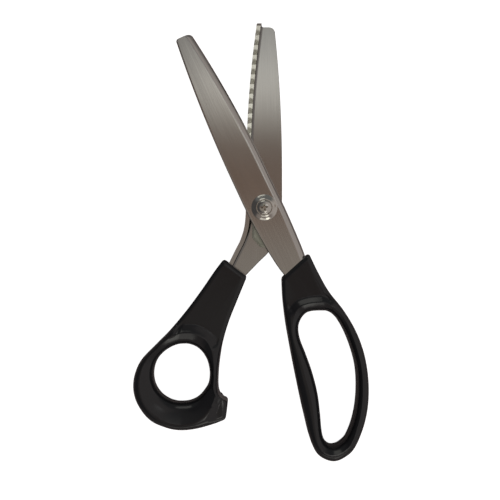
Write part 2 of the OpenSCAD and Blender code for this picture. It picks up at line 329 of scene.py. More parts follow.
def blade_steel(name, turn, cool):
    """Lengthwise ground sheet. Cool is how far its colour leaves the warm tone for grey."""
    material, graph, shader = principled(name)
    lines = placed(graph, turn, (1, 0.012, 1))
    fine = noise(graph, lines, 2600, 3, 0.6)
    bands = noise(graph, placed(graph, turn, (1, 0.05, 1)), 240, 2)
    cloud = noise(graph, placed(graph, turn), 60, 3)
    specks = noise(graph, placed(graph, turn), 900, 1).between(0.72, 0.78)
    tone = graph.blend(bands, (0.57, 0.545, 0.51, 1), (0.66, 0.64, 0.605, 1))
    tone = graph.blend(fine.between(0.35, 0.65) * 0.5, tone, (0.50, 0.475, 0.45, 1))
    tone = graph.blend(specks * 0.35, tone, (0.33, 0.30, 0.27, 1))
    tone = graph.blend(cool, tone, (0.58, 0.585, 0.57, 1))
    # Painted shade: the inside of the bend is darkened in the base colour, standing in for shade in the
    # crease.
    inner_bend = graph.add("ShaderNodeAttribute", {"attribute_name": "inner_bend"}).out("Fac")
    tone = graph.blend(inner_bend * 0.75, tone, (0.16, 0.155, 0.15, 1))
    feed(graph, shader, Base_Color=tone, Metallic=1.0,
         Roughness=0.09 + fine * 0.04 + cloud * 0.03,
         Normal=bump(graph, fine * 0.7 + bands * 0.6, 0.35, 0.00002))
    return material


def tooth_steel(name, turn, grind):
    """Ground faces. The wheel leaves them a little steeper on one side: grind is that slope."""
    material, graph, shader = principled(name)
    grit = noise(graph, placed(graph, turn, (0.25, 1, 1)), 3800, 2)
    tone = graph.blend(grit, (0.70, 0.71, 0.65, 1), (0.86, 0.87, 0.80, 1))
    along = graph.add("ShaderNodeSeparateXYZ", None, {"Vector": placed(graph, turn)}).out("Y")
    feed(graph, shader, Base_Color=tone, Metallic=1.0, Roughness=0.28 + grit * 0.14,
         Normal=bump(graph, grit * 0.000015 - along * grind, 1.0, 1.0))
    return material


OPEN_ANGLE = math.radians(25)
steels = {"lower": (blade_steel("lower_blade_steel", 0.0, 0.5),
                    tooth_steel("lower_tooth_steel", 0.0, 0.25)),
          "upper": (blade_steel("upper_blade_steel", OPEN_ANGLE, 0.1),
                    tooth_steel("upper_tooth_steel", OPEN_ANGLE, 0.0))}
print("blade finishes:", ", ".join(m.name for pair in steels.values() for m in pair))

# %% [markdown]
# ## The bent blade
# Each blade is a press tool's work: a flat blank 2.2 mm thick, bent to an L along one side. The upright
# flange carries the teeth and the flat web holds it stiff. A sweep of the same L-shaped section along
# the blade gives this well, with more sections where the outline turns in at the tip and behind the
# pivot. The sections of the toothed part stand at equal steps away from the pivot, because both blades'
# teeth have to meet whatever the angle between them.

# %% The blade's sizes and its section
SHEET = 2.2
DEPTH = 4.6
BEND = 1.0
HALF_WIDTH = 9.2
LOWER_TIP = 94.5
UPPER_TIP = 95.9
TOOTH_GAP = 0.15
PITCH = 4.92
TOOTH_HEIGHT = 2.5
FIRST_PEAK = 19.1
SPINE_ROUND = 0.5
EDGE_ROUND = 0.2
TAPER_START = 20


def flange_x(y):
    return -HALF_WIDTH + max(0.0, y - TAPER_START) ** 2 / 1028


def spine_x(y):
    return HALF_WIDTH - max(0.0, y - TAPER_START) ** 2 / 1350


def bent_section(width, edge):
    """Points (across, up) of the L: down the flange's outside, along the web and back inside."""
    outer = min(BEND + SHEET, width - 0.6)
    inner = min(BEND, width - SHEET - 0.3)
    ease = min(SPINE_ROUND, (width - outer) / 2)
    nib = min(EDGE_ROUND, ease)
    quarter = np.linspace(0, math.pi / 2, 10)
    outside = [(outer * (1 - math.cos(a)), outer * (1 - math.sin(a))) for a in quarter]
    spine = [(width - ease * (1 - math.sin(a)), ease * (1 - math.cos(a))) for a in quarter[::3]]
    inside = [(SHEET + inner * (1 - math.sin(a)), SHEET + inner * (1 - math.cos(a)))
              for a in quarter[::2]] + [(SHEET, SHEET + inner)]
    room = (width - ease - outer) / 3
    outer_rest, inner_rest = min(0.4, room), min(0.4, (width - SHEET - inner - nib) / 3)
    return ([(0, edge)] + outside + [(outer + outer_rest, 0), (width - ease - outer_rest, 0)]
            + spine + [(width, SHEET - nib), (width - nib, SHEET)]
            + [(width - nib - inner_rest, SHEET), (SHEET + inner + inner_rest, SHEET)]
            + inside + [(SHEET, edge)])


def stood(point, angle, width, edge, lean=0.0):
    """The section, stood at a point of the flange and turned; lean carries its inner edge on."""
    shape = bent_section(width, edge)
    ring = [(point[0] + s * math.cos(angle), point[1] + s * math.sin(angle), z)
            for s, z in shape]
    ring[-1] = (ring[-1][0], ring[-1][1] + lean, ring[-1][2])
    return ring


print(f"the section has {len(bent_section(15, DEPTH))} points")

# %% Where the sections stand
STEPS_A_TOOTH = 8
LAST_VALLEY_STEPS = 30
TANG = 14
REAR_SHORTFALL = 0.3


def at_radius(r, trim=0.0, shift=0.0):
    """A section of the toothed part, before its teeth are raised."""
    x = flange_x(r) + shift
    y, inner_y = math.sqrt(r * r - x * x), math.sqrt(r * r - (x + SHEET) ** 2)
    return stood((x, y), 0.0, spine_x(r) - x - trim, DEPTH - TOOTH_GAP / 2, inner_y - y)


def corner_trim(back, radius):
    """How far a rounded corner has drawn in, at a distance back from the end of it."""
    into = max(0.0, radius - back)
    return radius - math.sqrt(max(0.0, radius ** 2 - into ** 2))


def through(stations, parts=6):
    """A smooth run of (x, y, angle, width) stations, densely filled in."""
    stations = [np.array(s, float) for s in stations]
    filled = []
    for i in range(len(stations) - 1):
        b, c = stations[i], stations[i + 1]
        a = stations[i - 1] if i else 2 * b - c
        d = stations[i + 2] if i + 2 < len(stations) else 2 * c - b
        for t in np.arange(parts) / parts:
            filled.append(b + 0.5 * t * (c - a + t * (2 * a - 5 * b + 4 * c - d
                                                      + t * (3 * (b - c) + d - a))))
    return filled + [stations[-1]]


def rear(stations):
    """Sections from the buried tang to the pivot. The tang runs straight on into the handle."""
    x, y, degrees, width = stations[0]
    angle = math.radians(degrees)
    plain = DEPTH - REAR_SHORTFALL
    rings = []
    for back, across, w in ((TANG, 2, width - 5), (0.5, 0, width)):
        point = (x + across * math.cos(angle) + back * math.sin(angle),
                 y + across * math.sin(angle) - back * math.cos(angle))
        rings.append(stood(point, angle, w, plain))
    for x, y, degrees, width in through(stations):
        rings.append(stood((x, y), math.radians(degrees), width, plain))
    return rings


half_step = PITCH / 2
first_valley = FIRST_PEAK - half_step
last_valley = first_valley + LAST_VALLEY_STEPS * half_step
toothed = [at_radius(first_valley + k * PITCH / STEPS_A_TOOTH)
           for k in range(LAST_VALLEY_STEPS * STEPS_A_TOOTH // 2 + 1)]
lower_rear = rear([(-18, -28, -36.9, 10.8), (-14.9, -21.7, -28, 13.4), (-12.3, -16.5, -18, 16.2),
                   (-10.4, -10.5, -9, 17.6), (-9.6, -4, 0, 18.5), (-9.3, 6, 0, 18.5)])
upper_rear = rear([(-8.4, -31.2, -17.1, 14.3), (-8.8, -27, -9, 15.6), (-9.2, -18, 0, 17.2),
                   (-9.5, -5, 0, 18.4), (-9.3, 6, 0, 18.5)])
print(f"{len(toothed)} sections carry teeth, {len(lower_rear)} and {len(upper_rear)} stand behind")

# %% [markdown]
# The tips differ. The lower blade's web stops short with one round corner, and its flange runs on as a
# narrow stub with a small hollow beside it. The upper blade ends square, with both corners rounded.

# %% The two tips
WEB_END = LOWER_TIP - 1.5
WEB_CORNER = 2.6
STUB = 2.6
HOLLOW = 1.1
PAST_END = 0.02


def lower_tip_rings():
    rings = []
    peak = last_valley + half_step
    for r in sorted([peak, *np.linspace(last_valley, WEB_END, 16)[1:]]):
        rings.append(at_radius(r, corner_trim(WEB_END - r, WEB_CORNER)))
    for s in np.linspace(0, HOLLOW, 7):
        r = WEB_END + PAST_END + s
        full = spine_x(r) - flange_x(r)
        width = STUB + HOLLOW - math.sqrt(HOLLOW ** 2 - (HOLLOW - s) ** 2)
        rings.append(at_radius(r, full - width))
    for back in (0.35, 0.12, 0.0):
        r = LOWER_TIP - back
        draw_in = corner_trim(back, 0.4) * 0.6
        full = spine_x(r) - flange_x(r)
        rings.append(at_radius(r, full - STUB + draw_in, draw_in))
    return rings


def upper_tip_rings():
    rings = []
    peak, end_valley = last_valley + half_step, last_valley + PITCH
    places = np.concatenate([np.linspace(last_valley, peak, 5)[1:], [peak + 0.6, UPPER_TIP - 2],
                             UPPER_TIP - np.array([1.6, 1.2, 0.85]), [end_valley],
                             UPPER_TIP - np.array([0.32, 0.15, 0.04, 0.0])])
    for r in places:
        back = UPPER_TIP - r
        rings.append(at_radius(r, corner_trim(back, 1.2), corner_trim(back, 1.8) * 0.8))
    return rings


blade_rings = {"lower": lower_rear + toothed + lower_tip_rings(),
               "upper": upper_rear + toothed + upper_tip_rings()}
first_toothed = {"lower": len(lower_rear), "upper": len(upper_rear)}
for side, rings in blade_rings.items():
    print(f"{side} blade: {len(rings)} sections")

# %% [markdown]
# ## Teeth by rule
# The zigzag follows one rule: the height of the flange's edge depends only on the distance from the
# pivot, going up and down once in each pitch. A Geometry Nodes tree says just that. It measures each
# edge point's distance from the pivot and lifts it by a triangle wave with named inputs for the pitch,
# the height and the first peak. The upper blade takes the same wave upside down, so the two mesh.

# %% The tree that raises the teeth
def new_tree(name, inputs):
    tree = bpy.data.node_groups.new(name, "GeometryNodeTree")
    tree.interface.new_socket("Geometry", in_out="OUTPUT", socket_type="NodeSocketGeometry")
    for label, kind in inputs:
        tree.interface.new_socket(label, in_out="INPUT", socket_type="NodeSocket" + kind)
    graph = Graph(tree)
    return graph, graph.add("NodeGroupInput")


def close_tree(graph, geometry, material):
    real = graph.add("GeometryNodeRealizeInstances", None, {"Geometry": geometry})
    painted = graph.add("GeometryNodeSetMaterial", None, {"Geometry": real, "Material": material})
    graph.add("NodeGroupOutput", None, {"Geometry": painted})
    return graph.tree


def run_tree(piece, tree, values):
    """Runs a tree on a piece with values for its named inputs, and keeps the plain result."""
    modifier = piece.modifiers.new(tree.name, "NODES")
    modifier.node_group = tree
    sockets = {item.name: item.identifier for item in tree.interface.items_tree
               if item.item_type == "SOCKET" and item.in_out == "INPUT"}
    for label, value in values.items():
        modifier[sockets[label]] = value
    shape = bpy.data.meshes.new_from_object(
        piece.evaluated_get(bpy.context.evaluated_depsgraph_get()))
    piece.modifiers.remove(modifier)
    piece.data = shape
    return piece


def teeth_tree():
    graph, given = new_tree("pinked_edge", [
        ("Geometry", "Geometry"), ("Pitch", "Float"), ("Tooth height", "Float"),
        ("First peak", "Float"), ("Way up", "Float"), ("Steel", "Material")])
    flat = graph.add("ShaderNodeVectorMath", {"operation": "MULTIPLY"},
                     {0: graph.add("GeometryNodeInputPosition"), 1: (1, 1, 0)})
    radius = graph.add("ShaderNodeVectorMath", {"operation": "LENGTH"}, {0: flat}).out("Value")
    turn = ((radius - given.out("First peak")) / given.out("Pitch") + 100).fraction()
    wave = (abs(turn * 2 - 1) - 0.5) * given.out("Tooth height") * given.out("Way up")
    edge = graph.add("GeometryNodeInputNamedAttribute", {"data_type": "FLOAT"},
                     {"Name": "toothed"})
    lift = graph.add("ShaderNodeCombineXYZ", None, {"Z": wave * edge})
    raised = graph.add("GeometryNodeSetPosition", None,
                       {"Geometry": given.out("Geometry"), "Offset": lift})
    return close_tree(graph, raised, given.out("Steel"))


pinked_edge = teeth_tree()
print("inputs:", ", ".join(item.name for item in pinked_edge.interface.items_tree))

# %% [markdown]
# ## Both pressings
# A blade starts as the skin over its sections, with marks on its points for the toothed edge and for
# the inside of the bend, where shade is painted into the steel's colour. The tree raises the teeth, and
# the pressing is put in its place, the upper one turned over. The hole is cut last, which is easier
# than a skin with a hole in it. The ground tooth faces are found by their lean.

# %% Make both blades
# The columns of the section's inside bend, where shade is painted into the colour.
BEND_SHADE_COLUMNS = slice(-7, -1)
SCREW_HOLE = 5.1
DRILL_SIDES = 64


def mark_points(piece, name, values):
    """Stores one number for each point, for a tree or a finish to read."""
    attribute = piece.data.attributes.new(name, "FLOAT", "POINT")
    attribute.data.foreach_set("value", values.ravel())


def blade(name, side):
    piece = skin(name, blade_rings[side])
    around = len(blade_rings[side][0])
    marks = np.zeros(len(piece.data.vertices), np.float32).reshape(-1, around)
    marks[first_toothed[side]:, [0, -1]] = 1.0
    mark_points(piece, "toothed", marks)
    # Marks for the painted shade on the inside of the bend.
    bend = np.zeros_like(marks)
    bend[:, BEND_SHADE_COLUMNS] = 1.0
    mark_points(piece, "inner_bend", bend)
    run_tree(piece, pinked_edge, {
        "Pitch": PITCH * MM, "Tooth height": TOOTH_HEIGHT * MM, "First peak": FIRST_PEAK * MM,
        "Way up": 1.0 if side == "lower" else -1.0, "Steel": steels[side][0]})
    if side == "lower":
        place = Matrix.Translation((0, 0, lower_face * MM))
    else:
        place = (Matrix.Rotation(OPEN_ANGLE, 4, "Z")
                 @ Matrix.Translation((0, 0, upper_face * MM)) @ Matrix.Rotation(math.pi, 4, "Y"))
    piece.data.transform(place)
    return piece


def bore(piece, diameter, low, high):
    """Drills the pivot hole."""
    r = diameter / 2
    drill = turned("drill", [(0, low), (r, low), (r, high), (0, high)], DRILL_SIDES)
    return cut(piece, drill)


def paint_teeth(piece, steel, way_up):
    """Gives the ground edge faces, which lean along the blade, their own finish."""
    piece.data.materials.append(steel)
    faces = 0
    for face in piece.data.polygons:
        lean = face.normal.z * way_up
        if 0.55 < lean < 0.85 and abs(face.center.z / MM - mate_z) < 1.6:
            face.material_index = 1
            faces += 1
    print(f"{piece.name}: {faces} ground faces")


lower_blade = bore(blade("lower_blade_pressing", "lower"), SCREW_HOLE, 0, 9)
upper_blade = bore(blade("upper_blade_pressing", "upper"), SCREW_HOLE, mate_z, upper_face + 2)
for piece, side, way_up in ((lower_blade, "lower", 1), (upper_blade, "upper", -1)):
    finish(piece, 25)
    paint_teeth(piece, steels[side][1], way_up)
    dress(piece, side, f"{side}_blade")

# %% [markdown]
# ## Handle plastic
# The handles are injection-moulded in gloss black plastic. The gloss comes from a polished mould, and
# the surface has a very faint ripple from shrinkage, some fine scratches from use, and dust that dulls
# the shine in patches. The colour itself is nearly even, so gloss and bump carry the look.

# %% Make the plastic
def gloss_plastic():
    material, graph, shader = principled("gloss_black_plastic")
    here = placed(graph)
    ripple = noise(graph, here, 260, 2)
    dull = noise(graph, here, 45, 4, 0.6)
    long_marks = noise(graph, placed(graph, 0.6, (1, 0.03, 1)), 1400, 2).between(0.62, 0.75)
    cross_marks = noise(graph, placed(graph, -0.9, (1, 0.04, 1)), 1100, 2).between(0.64, 0.76)
    marks = long_marks + cross_marks
    tone = graph.blend(dull, (0.017, 0.0178, 0.021, 1), (0.023, 0.0237, 0.027, 1))
    feed(graph, shader, Base_Color=tone, Metallic=0.0, IOR=1.5,
         Roughness=0.10 + dull * 0.10 + marks * 0.06,
         Normal=bump(graph, ripple - marks * 0.05, 0.3, 0.00006))
    return material


black_plastic = gloss_plastic()
print("plastic:", black_plastic.name)

# %% [markdown]
# ## The handles
# A handle is one closed skin round its finger hole. From the hole's wall a slope climbs to a crest, then
# a ramp drops to the flat stem, or where the bow is narrow the surface rolls over to the outside. The
# shape is drawn as a ladder: each rung joins a point on the hole to a point on the outline. Smooth
# curves run through both rails, and the same cross-section rule is laid along every rung between them.
# That keeps the two faces alike and the whole skin in clean strips.
#
# A row reads: x and y on the hole, x and y on the outline, and how wide the slope beside the hole is.
# Where the outline has a corner, a last number says how deep its edge rounds over.

# %% Draw the two ladders
EDGE, MOUTH = 1.3, 1.9


def ladder_of(*rows):
    """Rungs of (hole point, outline point, is it a corner, depth of edge, width of slope)."""
    return [(row[:2], row[2:4], len(row) > 5, row[5] if len(row) > 5 else EDGE, row[4])
            for row in rows]


thumb_ladder = ladder_of(
    (-35.5, -70.0, -8.8, -34.9, 6, MOUTH), (-37.5, -69.3, -20.6, -26.05, 6, MOUTH),
    (-39.2, -69.0, -24.8, -31.6, 6), (-41.2, -69.0, -31.9, -41.9, 6), (-43.8, -69.3, -39.4, -52.0, 6),
    (-47.6, -70.8, -47.9, -62.1, 5), (-51.6, -73.7, -55.4, -69.7, 3.2),
    (-55.1, -78.3, -62.4, -77.2, 4.4), (-56.5, -84.0, -65.7, -84.7, 5.6),
    (-55.7, -89.7, -66.3, -92.4, 7), (-52.9, -94.3, -63.9, -100.0, 8.6),
    (-48.8, -97.4, -57.9, -107.5, 10), (-45.0, -98.7, -49.5, -111.4, 10.6),
    (-41.4, -98.9, -42.6, -112.6, 11), (-37.8, -98.4, -34.7, -111.9, 10.4),
    (-34.4, -96.9, -25.8, -109.5, 9), (-31.8, -94.6, -19.5, -106.9, 7.4, EDGE),
    (-29.4, -91.3, -18.45, -97.7, 5.6, EDGE), (-28.6, -89.6, -21.5, -96.3, 4.4),
    (-28.0, -87.6, -23.3, -92.4, 3.2), (-27.7, -83.2, -23.3, -83.8, 2.1),
    (-28.7, -78.0, -22.5, -76.2, 3), (-30.5, -74.4, -21.1, -68.3, 4.6),
    (-32.3, -72.2, -18.1, -58.0, 5.6), (-33.9, -70.9, -13.7, -46.8, 6))
finger_ladder = ladder_of(
    (30.5, -52.2, 22.5, -23.15, 4.5, MOUTH), (22.5, -52.8, 8.8, -35.5, 4.5, MOUTH),
    (19.2, -55.4, 9.3, -46.0, 4.5), (17.3, -60.0, 10.6, -57.5, 3.4), (17.9, -66.0, 12.4, -68.0, 3.2),
    (20.7, -73.5, 14.4, -78.6, 3.8), (24.1, -83.0, 16.5, -89.0, 4.5), (26.9, -94.0, 18.7, -99.4, 4.3),
    (28.2, -104.0, 20.6, -107.5, 3.8), (29.1, -113.5, 22.4, -114.9, 3.3),
    (30.4, -118.0, 24.3, -120.3, 3.4), (32.2, -120.2, 26.8, -124.6, 3.6),
    (34.3, -120.9, 30.5, -127.2, 3.8), (36.6, -120.5, 35.0, -128.3, 3.9),
    (38.8, -119.2, 39.4, -127.0, 3.8), (41.4, -116.5, 44.9, -122.6, 3.4),
    (44.5, -109.0, 49.6, -112.6, 2.5), (46.4, -100.0, 52.1, -102.5, 2.5),
    (47.0, -90.0, 52.8, -92.4, 2.5), (46.3, -80.5, 52.1, -82.2, 2.5), (44.1, -71.8, 50.0, -72.2, 2.5),
    (40.8, -63.3, 46.1, -62.1, 2.5), (37.1, -56.7, 40.1, -52.0, 3), (34.3, -53.8, 32.2, -41.9, 4.2),
    (32.4, -52.7, 26.7, -32.0, 4.5))
print(f"{len(thumb_ladder)} rungs for the thumb and {len(finger_ladder)} for the fingers")

# %% Curves through the two rails
PARTS = 10
CORNER_EASE = 1.5
ROUND_WIDTH = 2.4


def eased_share(t, at_start, at_end):
    """Crowds the shares of a span towards the ends that are corners."""
    if at_start and at_end:
        return 0.5 - 0.5 * math.cos(math.pi * t)
    return t ** 1.8 if at_start else 1 - (1 - t) ** 1.8


def rail(ladder, column):
    """A closed smooth curve through one column of the ladder, straight into marked corners."""
    count, points = len(ladder), []
    for i in range(count):
        a, b, c, d = (np.array(ladder[(i + k) % count][column], float) for k in (-1, 0, 1, 2))
        chord = np.linalg.norm(c - b)
        sharp = [column == 1 and ladder[(i + k) % count][2] for k in (0, 1)]
        leave = c - b if sharp[0] else (c - a) / np.linalg.norm(c - a) * chord
        arrive = c - b if sharp[1] else (d - b) / np.linalg.norm(d - b) * chord
        marked = [ladder[(i + k) % count][2] for k in (0, 1)]
        for part in range(PARTS):
            t = part / PARTS
            if any(marked):
                t = eased_share(t, *marked)
            points.append(b * (2 * t ** 3 - 3 * t ** 2 + 1) + leave * (t ** 3 - 2 * t ** 2 + t)
                          + c * (3 * t ** 2 - 2 * t ** 3) + arrive * (t ** 3 - t ** 2))
    return np.array(points)


def soften(outline, ladder):
    """Rounds the outline at its marked corners, keeping every point on its own rung."""
    soft, count = outline.copy(), len(outline)
    for i, rung in enumerate(ladder):
        if not rung[2]:
            continue
        middle = i * PARTS
        corner = outline[middle]
        for way in (-1, 1):
            other = outline[(middle - way) % count] - corner
            other /= np.linalg.norm(other)
            for k in range(0, 6):
                p = outline[(middle + way * k) % count]
                away = np.linalg.norm(p - corner)
                if away < CORNER_EASE:
                    t = 0.5 - away / CORNER_EASE / 2
                    own = (outline[(middle + way) % count] - corner)
                    own /= np.linalg.norm(own)
                    soft[(middle + way * k) % count] = (
                        corner + own * CORNER_EASE * (1 - t) ** 2 + other * CORNER_EASE * t ** 2)
    return soft


def inward(outline):
    """The mitred direction into a closed outline that runs anticlockwise."""
    ahead = np.roll(outline, -1, 0) - outline
    ahead /= np.linalg.norm(ahead, axis=1)[:, None]
    left = np.stack([-ahead[:, 1], ahead[:, 0]], 1)
    both = left + np.roll(left, 1, 0)
    return both / (1 + (left * np.roll(left, 1, 0)).sum(1))[:, None]


def carried(ladder, column):
    """A number in one column of the ladder, carried evenly from rung to rung."""
    own = np.array([rung[column] for rung in ladder], float)
    share = np.arange(PARTS) / PARTS
    return (own[:, None] * (1 - share) + np.roll(own, -1)[:, None] * share).ravel()


def rails(ladder):
    """The hole, the softened outline, and a rail where the flat face begins to round over."""
    hole, outline = rail(ladder, 0), rail(ladder, 1)
    into, drawn = inward(outline), []
    for i, rung in enumerate(ladder):
        room = math.dist(rung[0], rung[1]) - rung[4]
        inner = outline[i * PARTS] + into[i * PARTS] * min(ROUND_WIDTH, 0.4 * room)
        drawn.append((rung[0], tuple(inner), rung[2]))
    return hole, soften(outline, ladder), rail(drawn, 1)


thumb_rails, finger_rails = rails(thumb_ladder), rails(finger_ladder)
print(f"each rail has {len(thumb_rails[0])} points")

# %% [markdown]
# ## Across a handle
# Heights are measured from the middle plane, because both faces are alike. WALL is the straight part of
# the hole's wall, CREST the ridge, STEM the flat face, ROLL the edge of a narrow bow, and RAMP the
# width of the drop from the crest. Such a surface could be sculpted, but rings of points give an even
# gloss with no lumps.

# %% The cross-section rule and the skin
CREST = 8.6
STEM = 6.8
WALL = 3.4
ROLL = 4.4
RAMP = 4.0
STEEP = 0.52
SLOPE_SHARES = (0.012, 0.05, 0.12, 0.2, 0.3, 0.4, 0.5, 0.6, 0.7, 0.8, 0.9, 1.0)


def ramp_shares(hollow, count=12):
    """Shares (along, height) of the ramp from crest to foot: straight, or hollow like a dish."""
    along = np.linspace(0, 1, 60)
    crest = np.clip(along / 0.12, 0, 1)
    foot = np.clip((1 - along) / 0.25, 0, 1)
    steep = crest * (foot * (1 - hollow) + (1 - along) * hollow * 1.6)
    drop = np.concatenate([[0], np.cumsum((steep[1:] + steep[:-1]) / 2)])
    picks = np.linspace(0, 1, count) ** 1.15
    return picks, 1 - np.interp(picks, along, drop / drop[-1])


def risen(share):
    """Height share of the slope: steep beside the hole, then a long gentle cone to the crest."""
    def rise(s):
        return STEEP * (1 - math.exp(-s / 0.15)) + (1 - STEEP) * s

    return rise(share) / rise(1)


def smooth_step(value, low, high):
    t = np.clip((value - low) / (high - low), 0, 1)
    return t * t * (3 - 2 * t)


def face_rings(hole, outline, inner, depths, slope, hollow):
    """Rings of one face, from the hole's wall over the crest to the outer wall."""
    reach = outline - hole
    length = np.linalg.norm(reach, axis=1)
    way = reach / length[:, None]
    climb = np.minimum(slope, 0.8 * length)
    room = length - climb
    roll = 1 - smooth_step(room, 5, 9)
    rings = []

    def lay(points, heights):
        rings.append(np.column_stack([points, np.broadcast_to(heights, length.shape)]))

    for z in (0.15, WALL - 0.9, WALL - 0.25):
        lay(hole, z)
    for share in SLOPE_SHARES:
        lay(hole + way * (climb * share)[:, None], WALL + (CREST - WALL) * risen(share))
    picks, heights = ramp_shares(hollow)
    run = np.minimum(RAMP + 2.2 * hollow, 0.45 * room)
    beyond = [(hole + way * (climb + run * p)[:, None], STEM + (CREST - STEM) * h)
              for p, h in zip(picks[1:], heights[1:])]
    beyond += [(outline + (inner - outline) * (1 - math.sin(a)), STEM - depths * (1 - math.cos(a)))
               for a in np.linspace(0, math.pi / 2, 8)]
    for step, (plain, z) in enumerate(beyond):
        u = 1 - (1 - (step + 1) / len(beyond)) ** 1.35
        rolled = hole + way * (climb + room * u)[:, None]
        rolled_z = ROLL + (CREST - ROLL) * math.sqrt(max(0.0, 1 - u ** 2.2))
        lay(rolled * roll[:, None] + plain * (1 - roll[:, None]), rolled_z * roll + z * (1 - roll))
    lay(outline, 0.25)
    lay(outline, 0.12)
    return rings


def handle(name, ladder, rails, hollow):
    hole, outline, inner = rails
    face = face_rings(hole, outline, inner, carried(ladder, 3), carried(ladder, 4), hollow)
    middle_out = [np.column_stack([outline + inward(outline) * 0.07, np.zeros(len(outline))])]
    middle_in = [np.column_stack([hole, np.zeros(len(hole))])]
    back = [ring * (1, 1, -1) for ring in reversed(face)]
    rings = [ring + (0, 0, mate_z) for ring in middle_in + face + middle_out + back]
    return finish(skin(name, rings, looped=True), 32)


thumb_bow = handle("thumb_handle_moulding", thumb_ladder, thumb_rails, 0.7)
finger_bow = handle("finger_handle_moulding", finger_ladder, finger_rails, 0.0)
dress(thumb_bow, "lower", "thumb_handle", black_plastic)
dress(finger_bow, "upper", "finger_handle", black_plastic)

# %% [markdown]
# ## The nylon spacer
# A block of milky nylon fills the room between the two webs and keeps the blades at the right distance.
# Its edges have a broad moulded bevel that looks lighter than the flat top. It is an outline raised in
# steps that draw in at the top and the bottom, with eased corners.

# %% Make the spacer
SPACER_HOLE = 5.0


def nylon():
    material, graph, shader = principled("milky_nylon")
    here = placed(graph)
    cloud = noise(graph, here, 300, 3)
    grain = noise(graph, here, 3200, 2)
    tone = graph.blend(cloud, (0.54, 0.56, 0.45, 1), (0.64, 0.66, 0.55, 1))
    feed(graph, shader, Base_Color=tone, Roughness=0.36 + cloud * 0.15, IOR=1.53,
         Normal=bump(graph, grain, 0.25, 0.00003))
    return material


def drawn_in(outline, inset):
    points = np.array(outline, float)
    return points + inward(points) * inset


def spacer():
    low, high = lower_face + SHEET, upper_face - SHEET - 0.1
    outline = [(-6.2, -15), (-1.8, -20.2), (4, -20.2), (6, -17), (6.5, -2), (5.9, 2.5),
               (3.4, 5.4), (0, 6.4), (-4, 6.4), (-6.2, 4.4)]
    outline = rounded(outline, 0.8, 4)
    rings = []
    for inset, z in ((1.15, low), (1.0, low + 0.06), (0.12, low + 0.95), (0.0, low + 1.15),
                     (0.0, high - 1.15), (0.12, high - 0.95), (1.0, high - 0.06), (1.15, high)):
        rings.append([(x, y, z) for x, y in drawn_in(outline, inset)])
    block = skin("spacer_moulding", rings)
    return finish(bore(block, SPACER_HOLE, low - 1, high + 1), 20)


spacer_block = spacer()
dress(spacer_block, "lower", "spacer_block", nylon())

# %% [markdown]
# ## Screw, washers and nut
# An oval-head screw with a cross recess sits in a domed cup washer, which spreads its pull over the
# upper blade. Under the lower blade a flat washer, a split spring washer and a thin nut hold it at the
# right tightness. All are turned parts, so each is one profile turned round the axis, with its edges
# eased so that they catch the light. Nickel plating is bright, with fine turning lines round the axis.

# %% Make the metal finishes
def plated(name, tone, dark, rough):
    material, graph, shader = principled(name)
    where = graph.add("ShaderNodeTexCoord").out("Object")
    parts = graph.add("ShaderNodeSeparateXYZ", None, {"Vector": where})
    x, y = parts.out("X"), parts.out("Y")
    radius = (x * x + y * y) ** 0.5
    rings = noise(graph, graph.add("ShaderNodeCombineXYZ", None,
                                   {"X": radius, "Z": parts.out("Z")}), 5200, 2)
    cloud = noise(graph, placed(graph), 420, 3)
    grime = noise(graph, placed(graph), 1500, 3).between(0.58, 0.75)
    colour = graph.blend(cloud * 0.5 + grime * 0.4, tone, dark)
    feed(graph, shader, Base_Color=colour, Metallic=1.0,
         Roughness=rough + rings * 0.06 + grime * 0.15,
         Normal=bump(graph, rings * 0.4 + cloud, 0.2, 0.00002))
    return material


nickel = plated("nickel_plate", (0.74, 0.72, 0.67, 1), (0.50, 0.47, 0.42, 1), 0.10)
spring_steel = plated("spring_steel_finish", (0.42, 0.41, 0.40, 1), (0.22, 0.20, 0.18, 1), 0.28)
print("metal finishes:", nickel.name, spring_steel.name)

# %% [markdown]
# ## The screw
# The head is an eased dome on a cone. The cross recess is where a driver fits: two tapered wings cut it,
# one after the other, because that is how it tapers on a real screw.

# %% Make the screw
cup_z = upper_face + 0.05
HEAD_R, SHANK_R, SEAT, RIM, DOME = 3.65, 2.5, 0.62, 0.18, 1.0
head_rim = cup_z + SEAT + HEAD_R - SHANK_R + RIM


def screw():
    dome = [(HEAD_R * math.cos(a), head_rim + DOME * math.sin(a))
            for a in np.linspace(0.12, math.pi / 2, 22)]
    neck = [(2.1, 7.4), (SHANK_R, 7.7), (SHANK_R, cup_z + SEAT),
            (HEAD_R - 0.06, head_rim - RIM - 0.06), (HEAD_R, head_rim - RIM + 0.03)]
    piece = turned("oval_head_screw", [(0, 0), (1.75, 0), (2.1, 0.35)] + neck + dome)
    top = head_rim + DOME
    for quarter in (0, 1):
        wing = bar("wing", (-2.15, -0.52, top - 1.9), (2.15, 0.52, top + 0.5), 0.34,
                   math.radians(8) + quarter * math.pi / 2)
        cut(piece, wing)
    return finish(piece, 28)


pivot_screw = screw()
dress(pivot_screw, "lower", "pivot_screw", nickel)

# %% Make the cup washer and the flat washer
def cup():
    z = cup_z
    profile = rounded([
        (2.75, z), (6.6, z), (6.6, z + 0.3), (6.3, z + 0.42), (5.3, z + 1.1), (4.7, z + 1.6),
        (4.2, z + 1.9), (3.8, z + 1.9), (3.62, z + 1.7), (2.75, z + 0.87)],
        [0.05, 0.12, 0.1, 0.2, 0.8, 0.4, 0.3, 0.1, 0.08, 0.05], 6)
    piece = turned("domed_cup_washer", profile)
    punch = bar("punch", (-0.3, -0.85, z + 0.75), (0.3, 0.85, z + 3), 0.8, 0.1, (5.35, 0.8))
    return finish(cut(piece, punch), 24)


